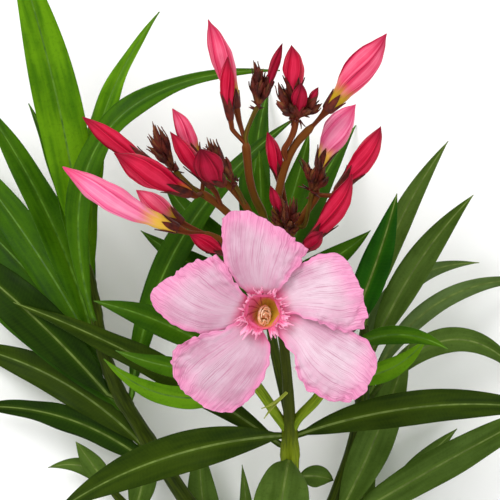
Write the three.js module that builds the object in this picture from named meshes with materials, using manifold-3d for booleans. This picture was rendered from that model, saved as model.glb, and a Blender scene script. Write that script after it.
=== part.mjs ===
// A flowering branch of oleander (Nerium oleander), cut from its shrub and lying on its leaves.
// A main stem runs from a flat cut to the foot of the flower truss. Leafy shoots leave it on both sides,
// the truss carries one open flower and the larger buds on short stalks, and narrow leaves stand in whorls.
// Millimetres. +Y runs from the cut towards the truss, +X is to the right as the flower faces the viewer,
// +Z is up, and the floor that the branch lies on is z = 0.
import * as THREE from "three";
import { mergeVertices } from "three/addons/utils/BufferGeometryUtils.js";
import Module from "manifold-3d";

const wasm = await Module();
wasm.setup();

// ---------------------------------------------------------------- driving dimensions
const GAP = 0.3; // clear space between a piece and the one that carries it
const STEM_SIDES = 8;
const STEM_STEP = 13; // length of limb between two rings
const STEM_FEWEST = 4;
const LEAF_THICK = 1.1; // over the midrib
const LEAF_EDGE = 0.6;
const LEAF_FOLD = 0.12; // rise of the blade's edges, as a share of its half width
const PETIOLE = 1.0; // half width of a leaf where it leaves the stem
const BUD_SIDES = 8;
const PEDICEL_R = 0.8; // stalk of a bud
const PETAL_THICK = 0.9;

const COLOURS = {
  stem: 0x6b7a1c,
  leaf: 0x2f5a12,
  truss: 0x7a4a2a,
  bud: 0xd42a50,
  petal: 0xf2a8c8,
};

// ---------------------------------------------------------------- stems
// Each stem is a tapering limb through its points. A side limb starts on the surface of the one it grows
// from, at a share of that one's length.
const STEMS = {
  stem_main: {
    points: [
      [13, -131, 3.1], [13, -124, 3.1], [12.5, -105, 10], [12, -80, 25],
      [12, -55, 40], [10, -28, 54], [4, 9, 62],
    ],
    radii: [3.1, 3, 2.9, 2.9, 2.8, 2.8, 1.7, 1.5, 1.5, 1.4, 1.4],
  },
  shoot_left: {
    from: ["stem_main", 0.17],
    points: [[-14, -86, 16], [-31, -60, 23], [-43, -38, 29], [-48, -15, 33], [-50, -4, 36]],
    radii: [2.7, 2.4, 1.7],
  },
  shoot_right: {
    from: ["stem_main", 0.2],
    points: [[25, -82, 18], [33, -57, 24], [35, -37, 30], [35, -23, 34]],
    radii: [2.4, 2.2, 1.6],
  },
  shoot_inner_left: {
    from: ["stem_main", 0.585],
    points: [[3.6, -43, 45], [-3.6, -33, 50], [-6.5, -28, 53]],
    radii: [1.6, 1.5, 1.3],
  },
  shoot_inner_right: {
    from: ["stem_main", 0.585],
    points: [[21, -43.5, 44], [27, -31.5, 48], [30, -25, 51]],
    radii: [1.6, 1.5, 1.3],
  },
};

// The stalks of the truss, which leave the top of the main stem.
const TRUSS = {
  truss_centre: {
    from: ["stem_main", 1],
    points: [[0.5, 18, 66], [-1.2, 31, 72]],
    radii: [1.2, 1.1],
  },
  truss_right: {
    from: ["stem_main", 0.97],
    points: [[9, 20, 69], [13.5, 31, 75], [18, 35.5, 79]],
    radii: [1.2, 1.0],
  },
  truss_upper_right: {
    from: ["truss_right", 0.7],
    points: [[12.6, 34, 77], [13.2, 38.5, 79]],
    radii: [0.9, 0.9],
  },
  truss_right_low: {
    from: ["stem_main", 0.93],
    points: [[13, 6, 61], [20, 16.5, 66]],
    radii: [1.2, 1.0],
  },
  truss_middle: {
    from: ["stem_main", 0.965],
    points: [[-2, 14, 69], [-7.5, 20, 73]],
    radii: [1.1, 0.9],
  },
  truss_left: {
    from: ["stem_main", 0.93],
    points: [[-6, 10.5, 63], [-14.5, 17, 66]],
    radii: [1.2, 1.0],
  },
  truss_left_low: {
    from: ["stem_main", 0.86],
    points: [[-5, 1, 60], [-14, 5, 61]],
    radii: [1.1, 0.9],
  },
};

// ---------------------------------------------------------------- leaves
// tip: where the point of the leaf is. arch: how far its middle bows up. sweep: how far it bows to the left
// of its way. lead: share of the way at which it bows most. roll: turn of the blade about its own length, in
// degrees. rests: the leaf's tip lies on the floor.
const LEAVES = {
  leaf_left_tall: {
    from: ["shoot_left", 1], tip: [-73, 98, 46],
    arch: 2, sweep: -3, width: 14.5,
  },
  leaf_left_upright: {
    from: ["shoot_left", 0.945], tip: [-27, 71, 50],
    arch: -2, sweep: 9, width: 10, roll: -35,
  },
  leaf_left_arching: {
    from: ["shoot_left", 0.87], tip: [9, 54, 44],
    arch: 12, sweep: 29, width: 10, roll: -35,
  },
  leaf_left_slim: {
    from: ["shoot_left", 0.9], tip: [-68, 45, 30],
    arch: 1, sweep: -2, width: 8.5, roll: 40,
  },
  leaf_left_outer: {
    from: ["shoot_left", 0.81], tip: [-86, 49, 18],
    arch: 4, sweep: -4, width: 11, roll: 25,
  },
  leaf_left_low: {
    from: ["shoot_left", 0.76], tip: [-97, 37, 2],
    arch: 5, sweep: -3, width: 12, rests: true,
  },
  leaf_left_broad: {
    from: ["shoot_left", 0.67], tip: [-100, 6, 24],
    arch: 7, sweep: -3, width: 14.5,
  },
  leaf_left_under: {
    from: ["shoot_left", 0.62], tip: [-93, -11, 6],
    arch: 4, sweep: -3, width: 10,
  },
  leaf_left_side: {
    from: ["shoot_left", 0.51], tip: [-95, -30, 1],
    arch: 5, sweep: -6, width: 11, rests: true,
  },
  leaf_left_dark: {
    from: ["shoot_left", 0.43], tip: [-90, -50, 7],
    arch: 2, sweep: -7, width: 9, roll: -20,
  },
  leaf_left_inner: {
    from: ["shoot_left", 0.64], tip: [15, 41, 36],
    arch: 4, sweep: 11, width: 9.5, roll: -25,
  },
  leaf_left_back: {
    from: ["shoot_left", 0.71], tip: [-98, 19, 4],
    arch: 0, sweep: -3, width: 13,
  },
  leaf_cross: {
    from: ["stem_main", 0.52], tip: [-72, -16, 36],
    arch: 0, sweep: -3, width: 9, roll: 20,
  },
  leaf_front_left: {
    from: ["stem_main", 0.55], tip: [-60, -81, 26],
    arch: 12, sweep: -6, width: 12.5,
  },
  leaf_front_right: {
    from: ["stem_main", 0.55], tip: [94, -50, 24],
    arch: 12, sweep: 6, width: 10.5,
  },
  leaf_front: {
    from: ["stem_main", 0.5], tip: [4, -122, 40],
    arch: 13, sweep: -1, lead: 0.15, width: 17,
  },
  leaf_inner_far: {
    from: ["shoot_inner_left", 0.9], tip: [-46, -15, 58],
    arch: 3, sweep: -2, width: 8.5,
  },
  leaf_inner_middle: {
    from: ["shoot_inner_left", 0.7], tip: [-40, -30, 50],
    arch: 2, sweep: 2, width: 6.5, roll: 15,
  },
  leaf_inner_near: {
    from: ["shoot_inner_left", 0.5], tip: [-43, -32, 59],
    arch: 1, sweep: 7, width: 7, roll: -15,
  },
  leaf_right_hanging: {
    from: ["stem_main", 0.44], tip: [26, -72, 18],
    arch: 2, sweep: 1, width: 7,
  },
  leaf_right_bright: {
    from: ["shoot_inner_right", 0.9], tip: [43, 16.5, 62],
    arch: 1, sweep: -1, width: 9.5,
  },
  leaf_right_near: {
    from: ["shoot_inner_right", 0.92], tip: [58, -29, 60],
    arch: 4, sweep: 4, width: 6, roll: 20,
  },
  leaf_right_curl: {
    from: ["shoot_inner_right", 0.55], tip: [52.5, -26, 53],
    arch: 1, sweep: -4, width: 6.5,
  },
  leaf_right_tall: {
    from: ["shoot_right", 1], tip: [60, 33, 40],
    arch: 1, sweep: 3, width: 7.5,
  },
  leaf_right_second: {
    from: ["shoot_right", 0.9], tip: [69, 17, 26],
    arch: 2, sweep: 3, width: 9.5,
  },
  leaf_right_hooked: {
    from: ["shoot_right", 0.82], tip: [72, -4, 14],
    arch: 3, sweep: 11, width: 7,
  },
  leaf_right_level: {
    from: ["shoot_right", 0.78], tip: [93, -10, 1],
    arch: 7, sweep: 11, width: 6, rests: true,
  },
  leaf_right_drooping: {
    from: ["shoot_right", 0.72], tip: [90, -44, 1],
    arch: 8, sweep: 17, width: 8, rests: true,
  },
  leaf_right_low: {
    from: ["shoot_right", 0.22], tip: [101, -46, 12],
    arch: 8, sweep: 2, width: 11,
  },
  leaf_right_upright: {
    from: ["shoot_right", 0.28], tip: [49, -29, 29],
    arch: 3, sweep: -1, width: 12,
  },
};

// Sprays: short shoots whose leaves are one mass with their stem.
const SPRAYS = {
  spray_lower_left: {
    from: ["stem_main", 0.09],
    points: [[-15, -101, 8], [-38, -82, 10], [-46, -73, 12]],
    radii: [2.0, 1.8, 1.4],
    leaves: [
      { at: 0.95, tip: [-55, -60.5, 11], arch: 0, sweep: 0, width: 7 },
      { at: 0.8, tip: [-34, -56, 12], arch: 1, sweep: -2, width: 9 },
      { at: 0.9, tip: [-64, -69, 8], arch: 0, sweep: -5, width: 6 },
      { at: 0.3, tip: [-16, -59, 9], arch: 0, sweep: 2, width: 11 },
      { at: 0.16, tip: [-2.5, -68, 9], arch: 0, sweep: -1, width: 6 },
      { at: 0.84, tip: [-80, -122, 3], arch: 3, sweep: 2, width: 10, rests: true },
      { at: 0.66, tip: [-50, -130, 3], arch: 3, sweep: 2, width: 9.5, rests: true },
    ],
  },
  spray_back: {
    from: ["stem_main", 0.6],
    points: [[7, -28, 38], [5, -10, 36], [4, 0, 36]],
    radii: [1.7, 1.5, 1.2],
    leaves: [
      { at: 0.95, tip: [2.7, 30, 42], arch: 0, sweep: 0, width: 6.5 },
      { at: 0.88, tip: [18, 36, 36], arch: 0, sweep: -1, width: 8, roll: 15 },
      { at: 0.85, tip: [-27, 22, 24], arch: 1, sweep: 3, width: 9 },
      { at: 0.75, tip: [37, 6, 30], arch: 2, sweep: -2, width: 8 },
      { at: 0.7, tip: [-34, 6, 20], arch: 1, sweep: 2, width: 8.5 },
      { at: 0.8, tip: [6, 52, 1], arch: 5, sweep: 4, width: 10, rests: true },
      { at: 0.6, tip: [34, 40, 1], arch: 6, sweep: 3, width: 9.5, rests: true },
    ],
  },
  spray_lower_right: {
    from: ["stem_main", 0.11],
    points: [[22, -106, 7], [36, -94, 8], [41, -87, 9]],
    radii: [1.8, 1.6, 1.3],
    leaves: [
      { at: 0.95, tip: [66, -57, 4], arch: 1, sweep: 2, width: 8 },
      { at: 0.9, tip: [80, -104, 3], arch: 4, sweep: 1, width: 10, rests: true },
      { at: 0.75, tip: [70, -120, 3], arch: 4, sweep: 3, width: 10, rests: true },
      { at: 0.8, tip: [40, -40, 6], arch: 0, sweep: 3, width: 9 },
      { at: 0.6, tip: [58, -62, 5], arch: 0, sweep: -1, width: 8 },
    ],
  },
};

// ---------------------------------------------------------------- buds
// stalk: length of the bud's own stalk. girth: its largest radius. arch and sweep as for the leaves.
const BUDS = {
  bud_pink_top: {
    from: ["truss_centre", 0.9], tip: [-12, 66, 76],
    stalk: 12, girth: 3.3, sweep: -1,
  },
  bud_red_top: {
    from: ["truss_centre", 0.8], tip: [-6.3, 55, 80],
    stalk: 12, girth: 2.2, sweep: 1.5,
  },
  bud_pink_great: {
    from: ["truss_right", 1], tip: [38.5, 61, 86],
    stalk: 5, girth: 4.3, sweep: -0.5,
  },
  bud_pink_behind: {
    from: ["truss_right_low", 0.9], tip: [30.5, 42, 72],
    stalk: 9, girth: 4.1, sweep: 1.5,
  },
  bud_red_right: {
    from: ["truss_right_low", 0.82], tip: [37.5, 35.5, 76],
    stalk: 8, girth: 3.3, sweep: -2,
  },
  bud_red_right_low: {
    from: ["stem_main", 0.915], tip: [29, 21.5, 78],
    stalk: 12, girth: 3.3, sweep: -3.5,
  },
  bud_red_upper: {
    from: ["truss_upper_right", 0.9], tip: [11.7, 58, 84],
    stalk: 5, girth: 3.1, sweep: -0.5,
  },
  bud_red_inner: {
    from: ["truss_right_low", 0.4], tip: [5, 34, 72],
    stalk: 13, girth: 2.2, sweep: -0.5,
  },
  bud_pink_left: {
    from: ["truss_left", 0.92], tip: [-22.5, 41, 68],
    stalk: 9, girth: 2.6, sweep: -1,
  },
  bud_red_left: {
    from: ["truss_left", 0.72], tip: [-23, 34, 75],
    stalk: 7, girth: 2.6, arch: 2,
  },
  bud_red_round: {
    from: ["truss_middle", 0.9], tip: [-14, 28.5, 86],
    stalk: 3.5, girth: 4, sweep: 1,
  },
  bud_red_outer: {
    from: ["truss_left", 1], tip: [-48.5, 38.5, 70],
    stalk: 14, girth: 2.8, sweep: 1,
  },
  bud_red_outer_low: {
    from: ["truss_left", 0.84], tip: [-38.5, 27.5, 83],
    stalk: 8, girth: 4.2, arch: 1.5, sweep: 0.5,
  },
  bud_pink_outer: {
    from: ["truss_left_low", 0.95], tip: [-54, 24, 72],
    stalk: 9, girth: 4, sweep: 2,
  },
};

// ---------------------------------------------------------------- the open flower
const BLOOM = {
  from: ["stem_main", 0.9],
  centre: [3.6, -17.4, 85],
  tilt: [0.02, -0.1, 1], // the way the flower faces
  tube: 17, // length of the corolla's tube below the petals
  throat: 5, // radius of its mouth
  // turn: the petal's direction in degrees from +X. slant: how much farther its left side reaches.
  petals: [
    { turn: 91, length: 28, width: 22, slant: 0.35 },
    { turn: 21, length: 30, width: 23, slant: -0.25 },
    { turn: -34, length: 35, width: 22, slant: -0.15 },
    { turn: -128, length: 33, width: 24, slant: 0.05 },
    { turn: 170, length: 31, width: 22, slant: 0 },
  ],
};

// ---------------------------------------------------------------- solids from rings of points
const at = (p) => new THREE.Vector3(...p);
const UP = new THREE.Vector3(0, 0, 1);

// A closed solid through rings of equally many points, each turning the same way round the line of travel,
// with a flat first end and a pointed last one.
function solidThrough(rings, tip) {
  const n = rings[0].length;
  const positions = [...rings.flat(), tip].flatMap((p) => p.toArray());
  const faces = [];
  for (let i = 1; i < n - 1; i++) faces.push(0, i + 1, i);
  for (let k = 0; k < rings.length - 1; k++)
    for (let i = 0; i < n; i++) {
      const a = k * n + i;
      const b = k * n + ((i + 1) % n);
      faces.push(a, b, a + n, b, b + n, a + n);
    }
  const last = (rings.length - 1) * n;
  for (let i = 0; i < n; i++) faces.push(last + i, last + ((i + 1) % n), rings.length * n);
  const geometry = new THREE.BufferGeometry();
  geometry.setAttribute("position", new THREE.Float32BufferAttribute(positions, 3));
  geometry.setIndex(faces);
  return geometry;
}

// Side and upward directions across a line of travel, turned by roll degrees about it.
function across(travel, roll = 0, up = UP) {
  const side = new THREE.Vector3().crossVectors(up, travel).normalize();
  const rise = new THREE.Vector3().crossVectors(travel, side);
  const turn = THREE.MathUtils.degToRad(roll);
  side.applyAxisAngle(travel, turn);
  rise.applyAxisAngle(travel, turn);
  return { side, rise };
}

const placed = (centre, { side, rise }, x, y) =>
  centre.clone().addScaledVector(side, x).addScaledVector(rise, y);

// A value read off an evenly spaced list.
function between(list, t) {
  const x = Math.min(Math.max(t, 0), 1) * (list.length - 1);
  const k = Math.min(Math.floor(x), list.length - 2);
  return THREE.MathUtils.lerp(list[k], list[k + 1], x - k);
}

function roundRing(centre, frame, radius, sides) {
  return Array.from({ length: sides }, (_, i) => {
    const a = (2 * Math.PI * i) / sides;
    return placed(centre, frame, radius * Math.cos(a), radius * Math.sin(a));
  });
}

// The cross-section of a blade: a thin chevron that is thickest over its midrib.
function bladeRing(centre, frame, half, thick, edge, fold) {
  const rise = fold * half;
  const e = edge / 2;
  const m = thick / 2;
  return [[0, -m], [half, rise - e], [half, rise + e], [0, m], [-half, rise + e], [-half, rise - e]].map(
    ([x, y]) => placed(centre, frame, x, y),
  );
}

// ---------------------------------------------------------------- limbs
const limbs = {};

// Where a piece that heads for a place leaves a limb: on its surface, with a gap.
function leave([name, share], towards, thick) {
  const limb = limbs[name];
  const centre = limb.curve.getPointAt(Math.min(share, 1));
  const along = limb.curve.getTangentAt(Math.min(share, 1));
  const heading = towards.clone().sub(centre).normalize();
  const lean = Math.abs(heading.dot(along));
  if (share >= 1) return centre.addScaledVector(along, between(limb.radii, 1) + GAP);
  const out = heading.addScaledVector(along, -heading.dot(along)).normalize();
  return centre.addScaledVector(out, between(limb.radii, share) + GAP + thick * lean);
}

function limbSolid(name, { from, points, radii }) {
  const way = points.map(at);
  if (from) way.unshift(leave(from, way[0], radii[0]));
  const curve = new THREE.CatmullRomCurve3(way, false, "centripetal");
  limbs[name] = { curve, radii };
  const steps = Math.max(STEM_FEWEST, Math.round(curve.getLength() / STEM_STEP));
  const rings = Array.from({ length: steps + 1 }, (_, k) => {
    const t = k / steps;
    return roundRing(curve.getPointAt(t), across(curve.getTangentAt(t)), between(radii, t), STEM_SIDES);
  });
  const end = curve.getPointAt(1).addScaledVector(curve.getTangentAt(1), between(radii, 1));
  return solidThrough(rings, end);
}

// A bowed line from a place on a limb to a tip.
function bowed({ from, tip, arch = 0, sweep = 0, lead = 0.5 }, thick) {
  const end = at(tip);
  const bow = (start) => {
    const chord = end.clone().sub(start);
    const left = new THREE.Vector3().crossVectors(UP, chord).normalize();
    return start.clone().lerp(end, lead).addScaledVector(UP, 2 * arch).addScaledVector(left, 2 * sweep);
  };
  const rough = limbs[from[0]].curve.getPointAt(Math.min(from[1], 1));
  const start = leave(from, bow(rough), thick);
  return new THREE.QuadraticBezierCurve3(start, bow(start), end);
}

// ---------------------------------------------------------------- leaves
const LEAF_SHARES = [0, 0.07, 0.18, 0.32, 0.47, 0.62, 0.77, 0.9];
// Half width of a blade: broadest a little before the middle, narrowing to its stalk and its point.
const leafHalf = (t, width) =>
  Math.max(PETIOLE * (1 - t), (width / 2) * Math.sin(Math.PI * t ** 0.82) ** 0.9);

function leafSolid(leaf) {
  const { width, roll = 0, rests = false } = leaf;
  const curve = bowed(leaf, PETIOLE);
  const rings = LEAF_SHARES.map((t) => {
    const eased = roll * Math.sin(Math.PI * Math.min(t * 1.2, 0.5)) * (rests ? 1 - t : 1);
    const frame = across(curve.getTangent(t).normalize(), eased);
    return bladeRing(curve.getPoint(t), frame, leafHalf(t, width), LEAF_THICK, LEAF_EDGE, LEAF_FOLD);
  });
  const point = curve.getPoint(1);
  if (rests) settle(rings, point);
  return solidThrough(rings, point);
}

// Bends the outer part of a leaf so that its lowest place just meets the floor.
function settle(rings, point) {
  const lows = [...rings.map((ring) => Math.min(...ring.map((p) => p.z))), point.z];
  const low = Math.min(...lows);
  const reach = lows.indexOf(low) / (lows.length - 1);
  [...rings, [point]].forEach((ring, k) => {
    const share = Math.min(k / (lows.length - 1) / reach, 1) ** 2;
    for (const p of ring) p.z -= low * share;
  });
}

// ---------------------------------------------------------------- buds
// Share of the bud's length, and its radius there as a share of the girth: calyx, tube, then rolled petals.
const BUD_OUTLINE = [[0, 0.34], [0.1, 0.5], [0.26, 0.7], [0.42, 0.94], [0.58, 1], [0.74, 0.8], [0.9, 0.4]];

function budSolid(bud) {
  const { stalk, girth } = bud;
  const curve = bowed(bud, PEDICEL_R);
  const share = stalk / curve.getLength();
  const stations = [[0, PEDICEL_R], [share * 0.96, PEDICEL_R]];
  for (const [u, r] of BUD_OUTLINE) stations.push([share + (1 - share) * u, r * girth]);
  const rings = stations.map(([t, r]) => {
    const frame = across(curve.getTangent(t).normalize());
    return roundRing(curve.getPoint(t), frame, r, BUD_SIDES);
  });
  return solidThrough(rings, curve.getPoint(1));
}

// ---------------------------------------------------------------- joined solids
function manifoldOf(geometry) {
  const bare = geometry.toNonIndexed().deleteAttribute("normal").deleteAttribute("uv");
  const merged = mergeVertices(bare, 1e-4);
  const vertProperties = merged.attributes.position.array;
  const triVerts = new Uint32Array(merged.index.array);
  return new wasm.Manifold(new wasm.Mesh({ numProp: 3, vertProperties, triVerts }));
}

function joined(geometries) {
  const whole = geometries.map(manifoldOf).reduce((a, b) => a.add(b));
  const mesh = whole.getMesh();
  const geometry = new THREE.BufferGeometry();
  geometry.setAttribute("position", new THREE.BufferAttribute(mesh.vertProperties, 3));
  geometry.setIndex(new THREE.BufferAttribute(mesh.triVerts, 1));
  return geometry;
}

// A spray's leaves start inside its stem, so that they join it.
function spraySolid(name, spray) {
  const stem = limbSolid(name, spray);
  const inside = -GAP - spray.radii.at(-1);
  limbs[name + "_core"] = { curve: limbs[name].curve, radii: spray.radii.map(() => inside + 0.4) };
  const blades = spray.leaves.map((leaf) => leafSolid({ ...leaf, from: [name + "_core", leaf.at] }));
  return joined([stem, ...blades]);
}

// Share of the petal's length, and its breadth there as a share of its width.
const PETAL_OUTLINE = [
  [0, 0.24], [0.14, 0.4], [0.32, 0.74], [0.52, 0.98], [0.72, 1.06], [0.86, 0.9], [0.95, 0.56],
];

function bloomSolid({ from, centre, tilt, tube, throat, petals }) {
  const middle = at(centre);
  const facing = at(tilt).normalize();
  const turned = new THREE.Quaternion().setFromUnitVectors(UP, facing);
  const inFlower = (x, y, z) => new THREE.Vector3(x, y, z).applyQuaternion(turned).add(middle);
  const blades = petals.map(({ turn, length, width, slant }) => {
    const a = THREE.MathUtils.degToRad(turn);
    const out = (r, z) => inFlower(r * Math.cos(a), r * Math.sin(a), z);
    const curve = new THREE.QuadraticBezierCurve3(out(throat * 0.5, -2), out(length / 2, 5), out(length, 0));
    const rings = PETAL_OUTLINE.map(([t, w]) => {
      const travel = curve.getTangent(t).normalize();
      const frame = across(travel, 0, facing);
      frame.side.addScaledVector(travel, slant * t * t);
      return bladeRing(curve.getPoint(t), frame, (w * width) / 2, PETAL_THICK, PETAL_THICK, 0);
    });
    return solidThrough(rings, curve.getPoint(1));
  });
  const profile = [
    [0, -tube], [1.3, -tube], [1.9, -tube * 0.55], [throat * 0.9, -1.5],
    [throat, 0.2], [throat * 0.8, 0], [0, -5],
  ];
  const funnel = new THREE.LatheGeometry(profile.map(([r, z]) => new THREE.Vector2(r, z)), 12);
  funnel.rotateX(Math.PI / 2).applyQuaternion(turned).translate(...centre);
  const heel = inFlower(0, 0, 0.5 - tube);
  const start = leave(from, heel, PEDICEL_R);
  const sag = start.clone().lerp(heel, 0.6).addScaledVector(UP, -1);
  const stalk = new THREE.CatmullRomCurve3([start, sag, heel]);
  const rings = [0, 0.25, 0.5, 0.75].map((t) =>
    roundRing(stalk.getPointAt(t), across(stalk.getTangentAt(t)), PEDICEL_R + 0.2, BUD_SIDES));
  return joined([...blades, funnel, solidThrough(rings, stalk.getPointAt(1).addScaledVector(facing, 2))]);
}

// ---------------------------------------------------------------- the branch
const branch = new THREE.Group();
branch.name = "oleander_branch";

function piece(name, geometry, colour, roughness) {
  const material = new THREE.MeshStandardMaterial({ color: colour, roughness, metalness: 0 });
  const mesh = new THREE.Mesh(geometry, material);
  mesh.name = name;
  branch.add(mesh);
}

for (const [name, limb] of Object.entries(STEMS)) piece(name, limbSolid(name, limb), COLOURS.stem, 0.6);
for (const [name, limb] of Object.entries(TRUSS)) piece(name, limbSolid(name, limb), COLOURS.truss, 0.6);
for (const [name, leaf] of Object.entries(LEAVES)) piece(name, leafSolid(leaf), COLOURS.leaf, 0.45);
for (const [name, spray] of Object.entries(SPRAYS)) piece(name, spraySolid(name, spray), COLOURS.leaf, 0.45);
for (const [name, bud] of Object.entries(BUDS)) piece(name, budSolid(bud), COLOURS.bud, 0.5);
piece("bloom", bloomSolid(BLOOM), COLOURS.petal, 0.6);

// The origin is at the middle of the branch's box, on the floor.
const box = new THREE.Box3().setFromObject(branch, true);
const middle = box.getCenter(new THREE.Vector3());
branch.position.set(-middle.x, -middle.y, -box.min.z);

export default branch;
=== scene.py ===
"""A cut flowering branch of oleander, lying on a pale floor, seen straight from above.

Leaves, stems and buds are drawn along the lines of the CAD solids that they replace. The open flower, the
three leafy sprays' stems and the small bud clusters are drawn from the named values below.
Lengths are in millimetres until a mesh is made; Blender's own units are metres.
"""
import math

import bpy
import numpy as np
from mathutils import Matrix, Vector, noise


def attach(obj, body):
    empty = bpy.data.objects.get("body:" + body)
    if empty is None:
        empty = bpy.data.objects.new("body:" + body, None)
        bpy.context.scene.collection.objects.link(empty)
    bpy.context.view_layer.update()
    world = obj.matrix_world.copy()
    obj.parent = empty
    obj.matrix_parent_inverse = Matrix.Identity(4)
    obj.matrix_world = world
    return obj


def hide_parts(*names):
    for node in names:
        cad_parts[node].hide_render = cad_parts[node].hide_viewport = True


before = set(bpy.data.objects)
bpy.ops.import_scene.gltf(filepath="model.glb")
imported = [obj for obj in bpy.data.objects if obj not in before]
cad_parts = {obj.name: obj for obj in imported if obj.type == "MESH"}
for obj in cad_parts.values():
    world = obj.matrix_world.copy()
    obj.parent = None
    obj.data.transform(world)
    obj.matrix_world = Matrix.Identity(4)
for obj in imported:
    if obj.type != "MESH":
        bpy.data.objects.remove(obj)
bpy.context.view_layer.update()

MM = 0.001
UP = np.array([0.0, 0.0, 1.0])

# ---------------------------------------------------------------- values shared with the solids
CUT = np.array([13.0, -131.0, 3.1])  # middle of the cut, in the branch's working coordinates
LEAF_SHARES = [0, 0.07, 0.18, 0.32, 0.47, 0.62, 0.77, 0.9]  # where a leaf's cross-sections stand
PETIOLE = 1.0  # half the width of a leaf's stalk
# A bud's radius along it, as shares of its length and of its girth.
BUD_PROFILE = [
    (0, 0.36), (0.1, 0.48), (0.24, 0.62), (0.4, 0.9), (0.55, 1), (0.7, 0.88), (0.86, 0.5), (0.95, 0.2),
    (1, 0.04),
]
BLOOM_CENTRE = np.array([3.6, -17.4, 85.0])
BLOOM_FACING = np.array([0.02, -0.1, 1.0])
TUBE = 17  # the length of the flower's tube
THROAT = 5  # the radius of its mouth
# Each petal's two edges, from its claw to its outer corners, as (distance out, distance to the left) from
# the flower's middle. bulge: how far its outer end stands out beyond the line between the corners, and lean:
# how much more of that is to its left. layer: how high it lies over the others.
PETALS = [
    dict(
        turn=91, bulge=4.2, lean=0.55, layer=0.9,
        left=[(4.3, 2.9), (6.5, 5.4), (9, 7.6), (13.8, 10.4), (20, 11.3), (26.6, 10.8)],
        right=[(4.3, -2.9), (7, -5), (9.8, -7.4), (12.6, -9.6), (15, -11.2), (17.4, -12.4)],
    ),
    dict(
        turn=21, bulge=2.4, lean=0.2, layer=0.5,
        left=[(4.3, 2.9), (7.2, 6.0), (12, 8.4), (17, 9.4), (22, 9.2), (25.8, 7.6)],
        right=[(4.3, -2.9), (8, -3.8), (11.6, -6.4), (15.4, -9.6), (19.7, -13.4), (25.4, -14.6)],
    ),
    dict(
        turn=-34, bulge=3.2, lean=-0.2, layer=0.0,
        left=[(4.3, 2.9), (10, 6.2), (18, 8.6), (24.7, 9.6), (29.8, 9.4), (33.8, 7.2)],
        right=[(4.3, -2.9), (9, -3.4), (13.4, -5.6), (19, -9.8), (26, -11), (33.4, -9)],
    ),
    dict(
        turn=-128, bulge=4.2, lean=0.1, layer=0.2,
        left=[(4.2, 3.2), (6.4, 7.6), (10.6, 10.4), (15.9, 11.8), (22.3, 12.1), (27.8, 11)],
        right=[(4.3, -2.9), (9.9, -5.8), (15, -9.6), (20, -12.2), (24.6, -12.8), (28, -10.8)],
    ),
    dict(
        turn=170, bulge=5.2, lean=0.25, layer=0.6,
        left=[(4.3, 2.9), (7.4, 5.2), (11.4, 7.5), (16.8, 9), (23.5, 8), (30.4, 4.2)],
        right=[(4.3, -2.9), (7, -5.2), (9.8, -8), (12, -10.4), (13.8, -12.4), (15.6, -13.8)],
    ),
]
SPRAY_STEMS = {
    "spray_lower_left": dict(
        points=[(9, -114, 7), (-15, -101, 8), (-38, -82, 10), (-46, -73, 12)], radii=(2.0, 1.3), tone="dull"),
    "spray_back": dict(
        points=[(12, -50, 42), (7, -28, 38), (5, -10, 36), (4, 0, 36)], radii=(1.7, 1.1), tone="mid"),
    "spray_lower_right": dict(
        points=[(14, -113, 7), (22, -106, 7), (36, -94, 8), (41, -87, 9)], radii=(1.8, 1.2), tone="dull"),
}
VIEW_HEIGHT = 710  # of the camera above the floor
VIEW_FOCUS = 620  # from the camera down to the plane of the flower
VIEW_WIDTH = 140  # of the picture at that plane
SENSOR = 36

# ---------------------------------------------------------------- reading the solids
def cad_mesh(name):
    """The points of a CAD node, each once, and the set of each one's neighbours."""
    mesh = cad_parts[name].data
    index, points, where = {}, [], []
    for v in mesh.vertices:
        p = np.array(v.co) / MM
        key = tuple(np.round(p, 3))
        if key not in index:
            index[key] = len(points)
            points.append(p)
        where.append(index[key])
    near = [set() for _ in points]
    for e in mesh.edges:
        a, b = (where[i] for i in e.vertices)
        if a != b:
            near[a].add(b)
            near[b].add(a)
    return points, near


def spines(name, sides, fewest=4):
    """Every tapering limb of a node, as its cross-sections from the pointed end back."""
    points, near = cad_mesh(name)
    found = []
    for v in range(len(points)):
        if len(near[v]) != sides:
            continue
        seen, layer, rings = {v}, {v}, [[v]]
        while True:
            layer = {n for a in layer for n in near[a]} - seen
            if len(layer) != sides:
                break
            seen |= layer
            rings.append(sorted(layer))
        if len(rings) > fewest:
            found.append([np.array([points[i] for i in ring]) for ring in rings])
    return found


def unit(v):
    return v / np.linalg.norm(v, axis=-1, keepdims=True)


SHIFT = spines("stem_main", 8)[0][-1].mean(0) - CUT


def placed(points):
    """Points in the branch's working coordinates, moved to where the solids stand."""
    return np.array(points, float) + SHIFT


def blend(s, a, b, slope_a, slope_b):
    """The cubic from a to b, as s goes from 0 to 1, with the given slopes at its ends."""
    return (
        (2 * s**3 - 3 * s**2 + 1) * a
        + (s**3 - 2 * s**2 + s) * slope_a
        + (3 * s**2 - 2 * s**3) * b
        + (s**3 - s**2) * slope_b
    )


def smooth(pairs, x):
    """A smooth curve through (x, y) pairs that doesn't overshoot, read at x."""
    xs, ys = (np.array(v, float) for v in zip(*pairs))
    slope = np.diff(ys) / np.diff(xs)
    tangent = np.zeros_like(ys)
    tangent[0], tangent[-1] = slope[0], slope[-1]
    inner = slope[:-1] * slope[1:]
    tangent[1:-1] = np.where(inner > 0, 2 * inner / np.where(inner > 0, slope[:-1] + slope[1:], 1), 0)
    x = np.clip(x, xs[0], xs[-1])
    k = np.clip(np.searchsorted(xs, x, side="right") - 1, 0, len(xs) - 2)
    h = xs[k + 1] - xs[k]
    return blend((x - xs[k]) / h, ys[k], ys[k + 1], h * tangent[k], h * tangent[k + 1])


def distances(line):
    """How far along a line each of its points is."""
    return np.concatenate([[0], np.cumsum(np.linalg.norm(np.diff(line, axis=0), axis=1))])


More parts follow.
